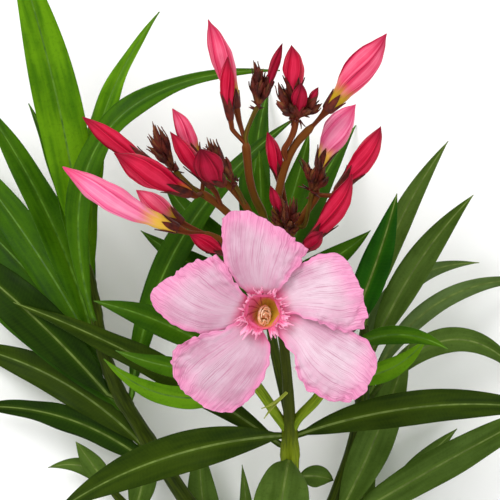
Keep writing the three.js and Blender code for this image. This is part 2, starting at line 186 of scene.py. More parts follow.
def along(points, n):
    """n places spaced evenly along a smooth line through points, as an array."""
    p = np.array(points, float)
    run = distances(p)
    ends = np.vstack([2 * p[0] - p[1], p, 2 * p[-1] - p[-2]])
    slope = ends[2:] - ends[:-2]
    slope /= np.maximum(np.linalg.norm(slope, axis=1, keepdims=True), 1e-9)
    s = np.linspace(0, run[-1], n)
    k = np.clip(np.searchsorted(run, s, side="right") - 1, 0, len(p) - 2)
    h = (run[k + 1] - run[k])[:, None]
    return blend((s[:, None] - run[k][:, None]) / h, p[k], p[k + 1], h * slope[k], h * slope[k + 1])


def spread(values, n):
    """n values read evenly along a list of them."""
    return np.interp(np.linspace(0, 1, n), np.linspace(0, 1, len(values)), values)


def crossed(x, y):
    """Pairs of values for a grid, x across it and y down it."""
    return np.stack(np.meshgrid(x, y), axis=-1)


def headings(line):
    return unit(np.gradient(line, axis=0))


def crossways(heading, roll=0.0):
    """Side and upward directions across each heading."""
    side = unit(np.cross(UP + 1e-6, heading))
    rise = np.cross(heading, side)
    return side * math.cos(roll) + rise * math.sin(roll), rise * math.cos(roll) - side * math.sin(roll)


def spokes(side, rise, angle):
    """Unit directions at angles from side towards rise."""
    return side[:, None] * np.cos(angle)[..., None] + rise[:, None] * np.sin(angle)[..., None]


def wobble(points, size, seed):
    """Smooth noise from -1 to 1 at each point, with features about size mm across."""
    flat = np.reshape(points, (-1, 3)) / size + seed * 17.3
    return np.array([noise.noise(Vector(p)) for p in flat]).reshape(np.shape(points)[:-1])


# ---------------------------------------------------------------- meshes
class Shape:
    """A mesh in the making: grids of points with a material and two UV maps."""

    def __init__(self):
        self.points, self.faces, self.kinds, self.bake, self.pattern = [], [], [], [], []
        self.count = 0

    def grid(self, points, pattern, kinds=0, wrap=False, tile=(0, 0, 1, 1)):
        """Rows of points, each turning anticlockwise round the line of travel. pattern has a column more than
        points if the grid wraps round."""
        rows, cols = points.shape[:2]
        index = self.count + np.arange(rows * cols).reshape(rows, cols)
        left = index if wrap else index[:, :-1]
        right = np.roll(index, -1, axis=1) if wrap else index[:, 1:]
        quads = np.stack([left[:-1], right[:-1], right[1:], left[1:]], axis=-1)
        n = quads.shape[1]
        across, down = np.meshgrid(np.linspace(0.01, 0.99, n + 1), np.linspace(0.01, 0.99, rows))
        bake = np.stack([tile[0] + tile[2] * across, tile[1] + tile[3] * down], axis=-1)
        self.faces.append(quads.reshape(-1, 4))
        self.kinds.append(np.broadcast_to(kinds, (rows - 1, n)).reshape(-1))
        for store, uv in ((self.bake, bake), (self.pattern, pattern)):
            corners = np.stack([uv[:-1, :-1], uv[:-1, 1:], uv[1:, 1:], uv[1:, :-1]], axis=2)
            store.append(corners.reshape(-1, 2))
        self.points.append(points.reshape(-1, 3))
        self.count += rows * cols

    def make(self, name, materials, slot, replaces=()):
        points = np.concatenate(self.points) * MM
        faces = np.concatenate(self.faces).astype(np.int32)
        mesh = bpy.data.meshes.new(name)
        mesh.vertices.add(len(points))
        mesh.vertices.foreach_set("co", points.astype(np.float32).ravel())
        mesh.loops.add(faces.size)
        mesh.loops.foreach_set("vertex_index", faces.ravel())
        mesh.polygons.add(len(faces))
        mesh.polygons.foreach_set("loop_start", np.arange(0, faces.size, 4, dtype=np.int32))
        mesh.polygons.foreach_set("material_index", np.concatenate(self.kinds).astype(np.int32))
        for m in materials:
            mesh.materials.append(m)
        mesh.update(calc_edges=True)
        for title, store in (("OFBake", self.bake), ("Pattern", self.pattern)):
            layer = mesh.uv_layers.new(name=title)
            layer.data.foreach_set("uv", np.concatenate(store).astype(np.float32).ravel())
        mesh.polygons.foreach_set("use_smooth", np.ones(len(faces), bool))
        mesh.validate()
        piece = bpy.data.objects.new(name, mesh)
        bpy.context.scene.collection.objects.link(piece)
        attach(piece, "root")
        if replaces:
            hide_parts(*replaces)
        return piece


def tube(shape, line, radii, kind=0, sides=14, tile=(0, 0, 1, 1), relief=None, roll=0.0):
    """A closed limb along a line, with relief added to its radius."""
    side, rise = crossways(headings(line), roll)
    angle = np.linspace(0, 2 * np.pi, sides, endpoint=False)
    radius = np.broadcast_to(np.reshape(radii, (-1, 1)), (len(line), sides)).copy()
    if relief is not None:
        radius += relief(line, angle)
    points = line[:, None] + spokes(side, rise, angle) * radius[..., None]
    run = distances(line)
    round_ = np.linspace(0, 1, sides + 1) * 2 * np.pi * np.mean(radii)
    pattern = crossed(round_, run)
    first, last = (np.repeat(end[:, None], sides, axis=1) for end in (line[:1], line[-1:]))
    points = np.concatenate([first, points, last])
    pattern = np.concatenate([pattern[:1], pattern, pattern[-1:]])
    shape.grid(points, pattern, kind, wrap=True, tile=tile)


# ---------------------------------------------------------------- materials
def rgb(hex_):
    """Linear colour of an sRGB hex value."""
    parts = [int(hex_[i : i + 2], 16) / 255 for i in (0, 2, 4)]
    return tuple(c / 12.92 if c <= 0.04045 else ((c + 0.055) / 1.055) ** 2.4 for c in parts) + (1.0,)


class Nodes:
    """Short ways to wire a material. A value is a number, a socket, or a colour as an sRGB hex string."""

    def __init__(self, name):
        self.material = bpy.data.materials.new(name)
        self.material.use_nodes = True
        self.tree = self.material.node_tree
        self.shader = self.tree.nodes["Principled BSDF"]

    def put(self, node, key, value):
        if isinstance(value, bpy.types.NodeSocket):
            self.tree.links.new(value, node.inputs[key])
        else:
            node.inputs[key].default_value = rgb(value) if isinstance(value, str) else value

    def node(self, kind, inputs=(), **settings):
        """A new node. inputs pairs its sockets, by name or number, with values."""
        made = self.tree.nodes.new("ShaderNode" + kind)
        for key, value in settings.items():
            setattr(made, key, value)
        for key, value in dict(inputs).items():
            self.put(made, key, value)
        return made

    def math(self, operation, *values):
        return self.node("Math", enumerate(values), operation=operation).outputs[0]

    def plus(self, a, b):
        return self.math("ADD", a, b)

    def times(self, a, b):
        return self.math("MULTIPLY", a, b)

    def times_plus(self, a, b, c):
        return self.math("MULTIPLY_ADD", a, b, c)

    def noise(self, scale, detail=3.0, rough=0.55, vector=None):
        vector = vector or self.node("TexCoord").outputs["Object"]
        inputs = {"Scale": scale, "Detail": detail, "Roughness": rough, "Vector": vector}
        return self.node("TexNoise", inputs).outputs["Fac"]

    def pattern(self):
        """The two values of the Pattern map."""
        place = self.node("UVMap", uv_map="Pattern").outputs[0]
        return tuple(self.node("SeparateXYZ", {0: place}).outputs)[:2]

    def vector(self, x, y, by_x, by_y, z=0.0):
        """A place in a texture, stretched along x and y."""
        return self.node("CombineXYZ", enumerate((self.times(x, by_x), self.times(y, by_y), z))).outputs[0]

    def ramp(self, value, *stops):
        """Blends colours: stops are (place, colour)."""
        made = self.node("ValToRGB", {0: value})
        elements = made.color_ramp.elements
        while len(elements) < len(stops):
            elements.new(0.5)
        for element, (at, colour) in zip(elements, stops):
            element.position = at
            element.color = rgb(colour)
        return made.outputs[0]

    def span(self, value, low, high, to_low=0.0, to_high=1.0):
        """Eases from one value to another while the given value goes from low to high."""
        inputs = enumerate((value, low, high, to_low, to_high))
        return self.node("MapRange", inputs, interpolation_type="SMOOTHSTEP").outputs[0]

    def mix(self, share, a, b):
        return self.node("Mix", {0: share, 6: a, 7: b}, data_type="RGBA").outputs[2]

    def bump(self, height, strength, distance):
        made = self.node("Bump", {"Height": height, "Strength": strength, "Distance": distance})
        self.put(self.shader, "Normal", made.outputs[0])

    def finish(self, colour, patch, smoothest, roughest, specular=0.5):
        """Sets the colour, the specular level, and a roughness that follows a patchy value."""
        self.put(self.shader, "Base Color", colour)
        self.put(self.shader, "Roughness", self.span(patch, 0.3, 0.7, smoothest, roughest))
        self.put(self.shader, "Specular IOR Level", specular)
        return self.material


VEIN_STEP = 1.15  # between a leaf's side veins
VEIN_SLANT = -0.42  # along the leaf for each mm away from the midrib
TURN = 2 * math.pi


def leaf_blade(name, deep, light, rough=(0.42, 0.56)):
    """The upper face: patchy green with lengthwise streaks, partly the leaf's own tone and partly painted
    sheen, and faint close side veins that leave the midrib at a steep angle.
    """
    n = Nodes(name)
    x, y = n.pattern()
    off = n.math("ABSOLUTE", x)
    # Lengthwise light and dark streaks: partly the leaf's own uneven tone, partly painted sheen.
    sheen_streaks = n.noise(1.0, 3, vector=n.vector(x, y, 0.34, 0.035, n.noise(6, 0)))
    patch = n.times_plus(n.noise(70, 4), 0.4, n.times(sheen_streaks, 0.6))
    fine = n.noise(1200, 3)
    waver = n.times_plus(n.noise(420, 2), 1.3, n.times_plus(off, VEIN_SLANT, y))
    ridge = n.span(n.math("SINE", n.times(waver, TURN / VEIN_STEP)), 0.3, 1.0)
    tone = n.mix(n.span(patch, 0.36, 0.64), deep, light)
    tone = n.mix(n.times(ridge, 0.01), tone, "88a838")
    tone = n.mix(n.span(fine, 0.5, 0.75, 0.0, 0.2), tone, "122402")
    tone = n.mix(n.span(off, 0.2, 1.3, 0.12, 0.0), tone, "6c8c20")
    n.bump(n.plus(n.times(ridge, -0.07), n.times(fine, 0.5)), 0.06, 0.0003)
    return n.finish(tone, patch, *rough, 0.05)


def leaf_under(name, pale):
    n = Nodes(name)
    x, y = n.pattern()
    patch = n.noise(120, 3)
    slant = n.times_plus(n.math("ABSOLUTE", x), VEIN_SLANT, y)
    vein = n.math("SINE", n.times(slant, TURN / VEIN_STEP))
    tone = n.mix(n.span(patch, 0.3, 0.7), pale, "62803a")
    tone = n.mix(n.span(vein, 0.4, 1.0, 0.0, 0.16), tone, "7c9450")
    n.bump(n.plus(n.times(vein, 0.4), patch), 0.2, 0.0003)
    return n.finish(tone, patch, 0.6, 0.75, 0.3)


def mottled(name, deep, light, scale, detail, spread, bump, rough, specular):
    """Small patches of two colours. spread: how far from the noise's middle value each colour is whole."""
    n = Nodes(name)
    patch = n.noise(scale, detail)
    tone = n.mix(n.span(patch, 0.5 - spread, 0.5 + spread), deep, light)
    n.bump(patch, *bump)
    return n.finish(tone, patch, *rough, specular)


MIDRIB = dict(scale=300, detail=3, spread=0.2, bump=(0.2, 0.0002), rough=(0.4, 0.55), specular=0.2)
SEPAL = dict(scale=420, detail=4, spread=0.2, bump=(0.35, 0.0003), rough=(0.45, 0.65), specular=0.2)
WOOD = dict(scale=700, detail=4, spread=0.15, bump=(0.4, 0.0003), rough=(0.75, 0.75), specular=0.5)
ANTHER = dict(scale=900, detail=3, spread=0.15, bump=(0.4, 0.0002), rough=(0.5, 0.7), specular=0.3)


def bark(name, deep, light, fleck, far=None, far_from=0, rise=1.0):
    """Smooth bark with lengthwise streaks and lenticels. It turns to the far colour from far_from mm on."""
    n = Nodes(name)
    x, y = n.pattern()
    streak = n.noise(1.0, 4, vector=n.vector(x, y, 1.6, 0.1))
    patch = n.noise(70, 4)
    dots = n.node("TexVoronoi", {"Scale": 1.0, "Vector": n.vector(x, y, 0.9, 0.5)})
    lenticel = n.span(dots.outputs["Distance"], 0.05, 0.14, 1.0, 0.0)
    tone = n.mix(n.span(n.plus(streak, n.times(patch, 0.5)), 0.5, 1.0), deep, light)
    if far:
        gone = n.span(n.times_plus(patch, 6.0, y), far_from, far_from + 16)
        tone = n.mix(n.times(gone, 0.85), tone, far)
    tone = n.mix(n.times(lenticel, 0.22), tone, fleck)
    n.bump(n.plus(n.times(lenticel, 0.6), streak), 0.22 * rise, 0.0004)
    return n.finish(tone, patch, 0.42, 0.6, 0.08)


def furled(name, base, body, light, edge, base_until):
    """Rolled petals. x runs from a petal's covered side to its free edge, y from foot to tip."""
    n = Nodes(name)
    x, y = n.pattern()
    drift = n.noise(60, 1)
    grain = n.noise(1.0, 4, vector=n.vector(x, y, 4.2, 1.3, drift))
    hair = n.noise(1.0, 3, vector=n.vector(x, y, 13.0, 1.8, drift))
    patch = n.noise(120, 3)
    # Painted highlight down the middle of each rolled petal's strip, mixed with the grain's own patchy tone.
    middle = n.math("SINE", n.times(x, math.pi))
    highlight_and_grain = n.times_plus(middle, 0.42, n.times(n.plus(grain, patch), 0.42))
    face = n.mix(n.span(highlight_and_grain, 0.58, 1.15), body, light)
    # Light fine streaks: painted highlights.
    face = n.mix(n.span(hair, 0.44, 0.32, 0.0, 0.4), face, light)
    face = n.mix(n.span(hair, 0.54, 0.7, 0.0, 0.45), face, edge)
    # Painted highlight along a line just inside each free edge.
    edge_highlight_gap = n.math("ABSOLUTE", n.math("SUBTRACT", x, 0.9))
    face = n.mix(n.span(edge_highlight_gap, 0.0, 0.07, 0.55, 0.0), face, light)
    face = n.mix(n.span(n.times_plus(grain, 0.06, x), 0.98, 1.03), face, edge)
    face = n.mix(n.span(n.times_plus(grain, 0.1, x), 0.04, 0.16, 0.5, 0.0), face, edge)
    foot = n.span(n.times_plus(grain, 0.16, y), base_until, base_until + 0.22, 1.0, 0.0)
    face = n.mix(foot, face, base)
    face = n.mix(n.span(y, 0.72, 1.0, 0.0, 0.8), face, edge)
    n.bump(n.plus(grain, n.times(hair, 0.6)), 0.3, 0.0004)
    return n.finish(face, patch, 0.4, 0.54, 0.08)


def petal(name, base, soft, centre, margin):
    """x runs across the petal from 0 to 1, y from the throat to the outer edge."""
    n = Nodes(name)
    x, y = n.pattern()
    side = n.math("ABSOLUTE", n.times_plus(x, 2.0, -1.0))
    cloud = n.noise(95, 4)
    drift = n.noise(45, 2)

    def rays(count, length, detail):
        return n.noise(1.0, detail, 0.5, n.vector(x, y, count, length, drift))

    fan, hair, thread = rays(9.0, 1.1, 4), rays(70.0, 2.4, 3), rays(150.0, 3.0, 2)
    reach = n.math("MAXIMUM", n.math("POWER", side, 5.0), n.math("POWER", y, 5.0))
    rim = n.span(n.times_plus(cloud, 0.8, reach), 0.6, 1.25)
    # Large whitish and mauve patches: partly the petal's own uneven colour, partly painted shading of its
    # crinkles.
    tone = n.mix(n.span(cloud, 0.36, 0.64), base, soft)
    tone = n.mix(n.span(n.noise(50, 3), 0.46, 0.68, 0.0, 0.5), tone, "c4829f")
    tone = n.mix(n.span(fan, 0.44, 0.7, 0.0, 0.3), tone, "dc92b4")
    tone = n.mix(n.span(side, 0.1, 0.75, 0.42, 0.0), tone, centre)
    tone = n.mix(n.times(rim, 0.8), tone, margin)
    # Fine radial lines, stronger outward: the light ones are painted highlights on the wrinkles, the dark
    # ones partly vein colour and partly painted shade in the wrinkles.
    wrinkled = n.span(y, 0.2, 0.6, 0.35, 1.0)
    tone = n.mix(n.times(n.span(hair, 0.54, 0.68), n.times(wrinkled, 0.14)), tone, "f3dbe6")
    tone = n.mix(n.times(n.span(hair, 0.44, 0.33), n.times(wrinkled, 0.42)), tone, "b4648a")
    tone = n.mix(n.times(n.span(thread, 0.46, 0.34), n.times(wrinkled, 0.5)), tone, "ae5a80")
    heart = n.span(n.times_plus(fan, 0.16, y), 0.1, 0.34, 0.9, 0.0)
    tone = n.mix(heart, tone, "e0588c")
    pleats = n.plus(n.times(fan, 0.5), n.times(hair, 0.9))
    n.bump(n.times(pleats, wrinkled), 0.6, 0.0006)
    return n.finish(tone, cloud, 0.55, 0.7, 0.15)


def corona():
    n = Nodes("corona_fringe")
    x, y = n.pattern()
    streak = n.noise(1.0, 4, vector=n.vector(x, y, 26.0, 2.0))
    tone = n.mix(n.span(streak, 0.42, 0.62), "da4a7e", "f088b0")
    tone = n.mix(n.span(y, 0.55, 1.0, 0.0, 0.75), tone, "f8b4d0")
    tone = n.mix(n.span(y, 0.0, 0.3, 0.7, 0.0), tone, "d8486c")
    n.bump(streak, 0.4, 0.0003)
    return n.finish(tone, streak, 0.45, 0.6, 0.2)


def throat_skin():
    """x runs round the tube and y from its foot up to the mouth."""
    n = Nodes("throat_skin")
    x, y = n.pattern()
    line = n.math("SINE", n.times_plus(n.noise(300, 2), 3.0, n.times(x, TURN * 11)))
    aside = n.math("COSINE", n.times_plus(x, TURN, -0.5))
    height = n.times_plus(aside, -0.4, y)
    ochre, pink = ((0.1, "c09a2c"), (0.4, "d0a03c")), ((0.56, "e4886a"), (0.7, "e8688c"), (1.0, "ec7ca2"))
    tone = n.ramp(height, *ochre, *pink)
    lined = n.times(n.span(line, 0.55, 1.0, 0.0, 0.7), n.span(aside, -0.7, 0.2, 1.0, 0.1))
    tone = n.mix(lined, tone, "a81c40")
    n.bump(line, 0.25, 0.0002)
    return n.finish(tone, n.noise(500, 2), 0.45, 0.6, 0.2)


GREENS = {
    "bright": leaf_blade("leaf_bright", "386401", "5a8806"),
    "fresh": leaf_blade("leaf_fresh", "224601", "3a6202"),
    "young": leaf_blade("leaf_young", "346001", "56820a"),
    "glossy": leaf_blade("leaf_glossy", "0a3401", "1a4c03", (0.36, 0.48)),
    "mid": leaf_blade("leaf_mid", "1c3c01", "305602"),
    "dark": leaf_blade("leaf_dark", "1a2c01", "2e4004"),
    "deep": leaf_blade("leaf_deep", "102201", "1e3601"),
    "dull": leaf_blade("leaf_dull", "344a10", "4a6224"),
    "pale": leaf_blade("leaf_pale", "8a9a2c", "b4bc58"),
    "dusty": leaf_blade("leaf_dusty", "3c5022", "546a38", (0.5, 0.62)),
}
UNDER = leaf_under("leaf_underside", "4e6828")
RIB_PALE = mottled("midrib_pale", "485a1c", "687c36", **MIDRIB)
RIB_GREEN = mottled("midrib_green", "345c06", "56801a", **MIDRIB)
GREEN_RIBBED = ("bright", "fresh", "young", "mid")  # the greens whose midribs are green too
BARK_MAIN = bark("bark_green", "4a5806", "7c8c14", "84843a", "262e04", 80, rise=0.6)
BARK_SHOOT = bark("bark_shoot", "1c2802", "3c4a06", "545620")
BARK_YOUNG = bark("bark_young", "4c6606", "80961c", "8c9640", rise=0.6)
BARK_TRUSS = bark("bark_truss", "4c1c0a", "7c401c", "94683a", rise=0.7)
BARK_FORK = bark("bark_fork", "4c480c", "6e6018", "8c783c", "6a3412", 3, rise=0.7)
BARK_OLIVE = bark("bark_olive", "44300a", "6c5a1a", "8c783c", rise=0.7)
CUT_FACE = mottled("stem_cut_face", "d9d3a3", "b9b878", **WOOD)
# Each skin: foot colour, body colour, painted highlight colour, edge colour, and where the foot colour ends.
SKINS = {
    "red": furled("bud_red", "c8842a", "aa0228", "dc3054", "70021c", 0.1),
    "dark": furled("bud_dark", "7a2c1a", "84021e", "b41c40", "480212", 0.02),
    "pink": furled("bud_pink", "ac8a18", "d23058", "ec7c98", "9c0a34", 0.24),
    "pale": furled("bud_pale", "eabe44", "ee6494", "fba6c2", "d02a60", 0.22),
}
CALYX = mottled("calyx_brown", "300a08", "662416", **SEPAL)
BRACT = mottled("bract_brown", "34140a", "74401e", **SEPAL)
# One petal skin in two copies: the shaded one is painted darker, as painted shade for petals that lie in
# shade.
PETAL_LIT = petal("petal_skin", "cc98b0", "dcbccc", "e6d0da", "ea8cba")
PETAL_SHADED = petal("petal_skin_shaded", "bc869e", "ceaabc", "d8bfcc", "e488b4")
CORONA = corona()
THROAT_SKIN = throat_skin()
TUBE_SKIN = mottled("tube_skin", "c98a8e", "d7a6a0", **SEPAL)
THREAD = mottled("throat_threads", "fbe6c0", "eeb27c", **ANTHER)

# ---------------------------------------------------------------- what carries what
def rings_of(name):
    """The middles and radii of a limb's cross-sections, from its foot to its tip."""
    rings = spines(name, 8)[0][::-1]
    middles = np.array([r.mean(0) for r in rings])
    return middles, np.array([np.linalg.norm(r - m, axis=1).mean() for r, m in zip(rings, middles)])


def limb(name):
    """A stem's middle line from its foot, and its radii, without the point at its tip."""
    middles, radii = rings_of(name)
    return middles[:-1], radii[:-1]


def named(*starts):
    return [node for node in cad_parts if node.startswith(starts)]


TRUSS_NODES = named("truss_")
CARRIER_PLACES = 80


def carrier(middles, radii):
    """A limb that other things leave: places along it with its radius at each."""
    return along(middles, CARRIER_PLACES), spread(radii, CARRIER_PLACES)


STEMS = {name: carrier(*limb(name)) for name in named("stem_", "shoot_")}
LIMBS = {**STEMS, **{name: carrier(*limb(name)) for name in TRUSS_NODES}}
TRUSS = {name: LIMBS[name] for name in TRUSS_NODES}


FORK = 6.0  # how near to a limb's end the stalks near it all leave from that end
FORK_DEPTH = 0.8


def root_of(first, back, carriers, leave_out="", fork=0.0):
    """A place on the middle line of the nearest limb, back mm nearer to that limb's foot than first is.
    Within fork mm of the limb's end the place is next to the end, so that the limb forks there."""
    near = {}
    for name, (line, radii) in carriers.items():
        if name != leave_out:
            gaps = np.linalg.norm(line - first, axis=1) - radii
            near[name] = (gaps.min(), gaps.argmin())
    closest = min(near, key=lambda n: near[n][0])
    line = carriers[closest][0]
    run = distances(line)
    at = run[near[closest][1]]
    if run[-1] - at < fork:
        at, back = run[-1], FORK_DEPTH
    return line[np.searchsorted(run, max(at - back, 0))]


# ---------------------------------------------------------------- leaves
LEAF_GREENS = {
    "bright": "left_tall left_upright",
    "fresh": "left_arching left_slim left_outer left_low inner_middle right_near",
    "mid": "left_back left_under left_inner inner_far",
    "deep": "left_broad left_dark",
    "dark": "left_side cross front_left front_right",
    "young": "inner_near right_curl",
    "glossy": "right_bright",
    "dull": "front right_hanging right_tall right_second right_drooping right_low right_upright",
    "dusty": "right_hooked right_level",
}
LEAF_TONES = {"leaf_" + leaf: tone for tone, leaves in LEAF_GREENS.items() for leaf in leaves.split()}
LEAF_ROWS = 44
BLADE_COLUMNS = np.array([1, 0.93, 0.8, 0.62, 0.42, 0.22])  # from a leaf's edge to its rib, as shares
LEAF_THICK = 0.42
LEAF_BACK = 4.5  # how far behind a leaf's foot the limb that carries it is looked for
WAVED_LENGTH = 80  # leaves shorter than this are waved less
FLOOR_CLEAR = 0.12


def read(poly, t):
    """A fitted line's points at t."""
    return np.array([np.polyval(poly[:, i], t) for i in range(3)]).T


def ahead_of(poly, t):
    """A fitted line's headings at t."""
    return unit(np.array([np.polyval(np.polyder(poly[:, i]), t) for i in range(3)]).T)


def leaf_line(rings):
    """Fits a leaf's middle line and side direction, as polynomials of the share of its length."""
    shares = np.array(([1] + LEAF_SHARES[::-1])[: len(rings)])
    middles = np.array([ring.mean(0) for ring in rings])
    line = np.polyfit(shares, middles, min(3, len(shares) - 1))
    heading = ahead_of(line, shares)
    sides, halves = [], []
    for ring, middle, ahead in list(zip(rings, middles, heading))[1:]:
        local = ring - middle
        side = np.linalg.svd(local)[2][0]
        side = unit(side - ahead * side.dot(ahead))
        rise = np.cross(ahead, side)
        x, z = local @ side, local @ rise
        outer = np.abs(x) > 0.5 * np.abs(x).max()
        if z[outer].mean() < z[~outer].mean():
            side = -side
        sides.append(side)
        halves.append(np.abs(x).max())
    return line, np.polyfit(shares[1:], np.array(sides), min(2, len(sides) - 1)), 2 * max(halves)


def draw_leaf(shape, rings, carriers, seed, tile=(0, 0, 1, 1)):
    """A leathery blade with a grooved midrib, slightly folded and waved along its edges, on a short stalk
    that starts inside the limb that carries it."""
    line, side_line, width = leaf_line(rings)
    rng = np.random.default_rng(seed)
    t = np.concatenate([[0, 0, 0], np.linspace(0, 1, LEAF_ROWS) ** 0.94])
    middle = read(line, t)
    behind = middle[3] - unit(middle[5] - middle[3]) * LEAF_BACK
    root = root_of(behind, 0.3, carriers)
    middle[:3] = root + (middle[3] - root) * np.array([[0.1], [0.4], [0.75]])
    heading = unit(np.gradient(middle, axis=0))
    side = read(side_line, t)
    side = unit(side - heading * np.sum(side * heading, axis=1, keepdims=True))
    rise = np.cross(heading, side)
    half = np.maximum(PETIOLE * (1 - t), width / 2 * np.sin(np.pi * t**0.82) ** 0.92)
    half = np.maximum(half, 0.12)
    half[:3] = PETIOLE * 0.75
    rib = np.minimum(0.36 - 0.2 * t, half * 0.8)
    run = distances(middle)
    x = np.concatenate([rib[:, None] + (half - rib)[:, None] * BLADE_COLUMNS, rib[:, None]], axis=1)
    x = np.concatenate([x, np.zeros((len(t), 1)), -x[:, ::-1]], axis=1)
    share = np.abs(x) / half[:, None]
    grow = np.clip((half / (0.5 * width)), 0, 1)[:, None]
    waves = rng.uniform(2.2, 3.4)
    phase = rng.uniform(0, TURN, 2)
    left = np.sin(TURN * waves * t + phase[0])[:, None]
    right = np.sin(TURN * waves * 1.15 * t + phase[1])[:, None]
    long = min(run[-1] / WAVED_LENGTH, 1)
    size = 0.3 + 0.035 * width * long**2
    swell = np.where(x > 0, left, right) * share**2 * grow * size * long
    fold = 0.13 * half[:, None] * share**1.25 - 0.1 * half[:, None] * np.clip(share - 0.72, 0, 1)
    centre = np.abs(x) < 1e-6
    groove = np.where(centre, -0.22, 0.0)
    keel = np.where(centre, -0.55, np.where(share < rib[:, None] / half[:, None] * 1.01, -0.16, 0.0))
    edge = np.clip((1 - share) * 6, 0.12, 1)
    level = fold + swell
    over = level + LEAF_THICK / 2 * edge + groove * np.clip(rib / 0.5, 0, 1)[:, None]
    under = level - LEAF_THICK / 2 * edge + keel * np.clip(rib / 0.5, 0.1, 1)[:, None]
    xs = np.concatenate([x, x[:, ::-1]], axis=1)
    zs = np.concatenate([over, under[:, ::-1]], axis=1)
    points = middle[:, None] + side[:, None] * xs[..., None] + rise[:, None] * zs[..., None]
    lift = np.maximum(FLOOR_CLEAR - points[..., 2].min(axis=1), 0)
    points[..., 2] += lift[:, None]
    cols = x.shape[1]
    kinds = np.zeros(2 * cols, int)
    kinds[cols:] = 1
    ribs = [cols // 2 - 1, cols // 2]
    kinds[ribs] = 2
    kinds[[cols + r for r in ribs]] = 2
    kinds[cols - 1] = 0
    pattern_x = np.concatenate([xs, xs[:, :1]], axis=1)
    pattern = np.stack([pattern_x, np.repeat(run[:, None], pattern_x.shape[1], axis=1)], axis=-1)
    shape.grid(points, pattern, np.broadcast_to(kinds, (len(t) - 1, 2 * cols)), wrap=True, tile=tile)


def leaf_materials(tone):
    return [GREENS[tone], UNDER, RIB_GREEN if tone in GREEN_RIBBED else RIB_PALE]


leaf_nodes = named("leaf_")
for k, name in enumerate(leaf_nodes):
    shape = Shape()
    draw_leaf(shape, spines(name, 6)[0], STEMS, 100 + k)
    shape.make(name.replace("leaf_", "blade_"), leaf_materials(LEAF_TONES[name]), "leaf", [name])

SPRAY_ROWS = 26
for k, (name, spray) in enumerate(SPRAY_STEMS.items()):
    blades = spines(name, 6, 3)
    shape = Shape()
    step = 1 / (len(blades) + 1)
    line = along(placed(spray["points"]), SPRAY_ROWS)
    radii = np.linspace(*spray["radii"], SPRAY_ROWS)
    for i, rings in enumerate(blades):
        rings = rings if len(rings) > 7 else rings[:-1]
        draw_leaf(shape, rings, {name: (line, radii)}, 200 + 20 * k + i, (i * step, 0, step, 1))
    radii[-3:] *= (0.9, 0.7, 0.35)
    tube(shape, line, radii, 3, tile=(1 - step, 0, step, 1))
    materials = [*leaf_materials(spray["tone"]), BARK_SHOOT]
    shape.make(name.replace("spray_", "leaves_"), materials, "leaf", [name])


# ---------------------------------------------------------------- stems and the stalks of the truss
BARKS = {
    "stem_main": BARK_MAIN, "shoot_left": BARK_SHOOT, "shoot_right": BARK_SHOOT,
    "shoot_inner_left": BARK_YOUNG, "shoot_inner_right": BARK_YOUNG,
}
NODE_REACH = 4.5  # a leaf whose foot is nearer than this to a stem swells it
leaf_feet = [read(leaf_line(spines(n, 6)[0])[0], 0.0) for n in leaf_nodes]


def node_relief(line, seed):
    """Slightly swollen rings with a fine lip where the leaves stand, and shallow ridges along the bark."""
    gaps = [np.linalg.norm(line - foot, axis=1) for foot in leaf_feet]
    places = [gap.argmin() for gap in gaps if gap.min() < NODE_REACH]

    def relief(points, angle):
        run = distances(points)
        out = np.zeros((len(points), len(angle)))
        for place in places:
            away = run - run[place]
            swell = 0.24 * np.exp(-((away / 2.2) ** 2)) - 0.1 * np.exp(-(((away + 1.9) / 0.5) ** 2))
            out += swell[:, None]
        out = np.minimum(out, 0.55)
        out += 0.05 * np.cos(5 * angle + seed)[None] + 0.05 * np.sin(run / 4.1 + seed)[:, None]
        return out

    return relief


def limb_points(name, back=4.0):
    """The limb's line with its foot drawn back into the one that carries it."""
    middles, radii = limb(name)
    if name != "stem_main":
        middles = np.vstack([root_of(middles[0], back, LIMBS, name), middles])
        radii = np.concatenate([[radii[0] * 0.9], radii])
    return middles, radii


def draw_cut(shape, line, radius, sides):
    """The flat cut at the foot of a stem, with its pith a little sunk."""
    ahead = headings(line)[0]
    side, rise = crossways(ahead[None])
    angle = -np.linspace(0, TURN, sides, endpoint=False)
    ring = spokes(side, rise, angle)[0]
    circles = ((1.0, 0.0), (0.86, 0.05), (0.84, -0.1), (0.3, -0.06), (0.28, 0.25), (0.0, 0.3))
    points = [line[0] + ring * radius * share * 0.995 + ahead * (sink - 0.15) for share, sink in circles]
    run = np.linspace(0, 1, len(circles))
    pattern = crossed(np.linspace(0, 1, sides + 1), run)
    shape.grid(np.array(points), pattern, 1, wrap=True, tile=(0.9, 0, 0.1, 0.2))


def draw_limb(name, material, sides=18):
    middles, radii = limb_points(name)
    rows = int(max(18, distances(middles)[-1] / 0.9))
    line = along(middles, rows)
    grown = spread(radii, rows)
    if name != "stem_main":
        grown[-4:] *= (0.97, 0.88, 0.7, 0.4)
    shape = Shape()
    tube(shape, line, grown, 0, sides, tile=(0, 0, 0.9, 1), relief=node_relief(line, len(name)))
    if name == "stem_main":
        draw_cut(shape, line, radii[0], sides)
    piece = name.replace("stem_", "bark_").replace("shoot_", "bark_shoot_")
    shape.make(piece, [material, CUT_FACE], "stem", [name])


for name, material in BARKS.items():
    draw_limb(name, material)

STALK_SWELL = 1.15
STALK_ROWS = 22


